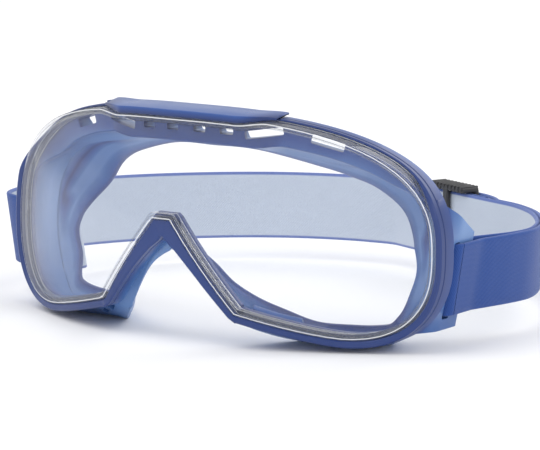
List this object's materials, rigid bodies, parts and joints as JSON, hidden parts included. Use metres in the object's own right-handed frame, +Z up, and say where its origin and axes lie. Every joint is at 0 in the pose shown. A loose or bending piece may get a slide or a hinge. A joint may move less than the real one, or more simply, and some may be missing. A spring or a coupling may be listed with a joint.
{
  "type": "safety goggles",
  "caption": "Wrap-round splash goggles with a clear lens, soft blue frame, face skirt, clip-on brow cover and an elastic head strap with a tri-glide buckle.",
  "frame": {"origin": "middle of the bounding box's bottom face, on the surface that the goggles stand on", "axes": "+X to the wearer's left, across the goggles; +Y from the lens towards the face and the back of the strap; +Z up"},
  "size_m": [0.194, 0.1644, 0.075],
  "materials": {
    "clear_lens": "clear polished polycarbonate",
    "blue_frame": "soft satin, deep blue, slightly see-through",
    "blue_skirt": "soft satin, light blue, milky",
    "blue_cover": "satin, mid blue",
    "blue_vent": "satin, see-through blue",
    "strap_inner": "elastic webbing, pale face inwards and royal blue face outwards",
    "strap_outer": "elastic webbing, royal blue twill face",
    "rod_steel": "plain wire",
    "black_plastic": "moulded black"
  },
  "bodies": {
    "goggles": {"lens": "clear_lens", "frame": "blue_frame", "face_skirt": "blue_skirt", "lower_vent_cover_left": "blue_vent", "lower_vent_cover_right": "blue_vent", "strap_main": "strap_inner", "strap_return": "strap_outer", "strap_stop_rod": "rod_steel"},
    "brow_cover": {"brow_cover": "blue_cover"},
    "buckle": {"triglide_buckle": "black_plastic"}
  },
  "joints": [
    {"name": "buckle_slide", "type": "slide", "parent": "goggles", "child": "buckle", "axis": [0.9219, -0.3875, 0], "range_m": [-0.014, 0.014], "deforming": ["strap_return"]},
    {"name": "brow_cover_lift", "type": "slide", "parent": "goggles", "child": "brow_cover", "axis": [0, 0, 1], "range_m": [0, 0.012]}
  ]
}
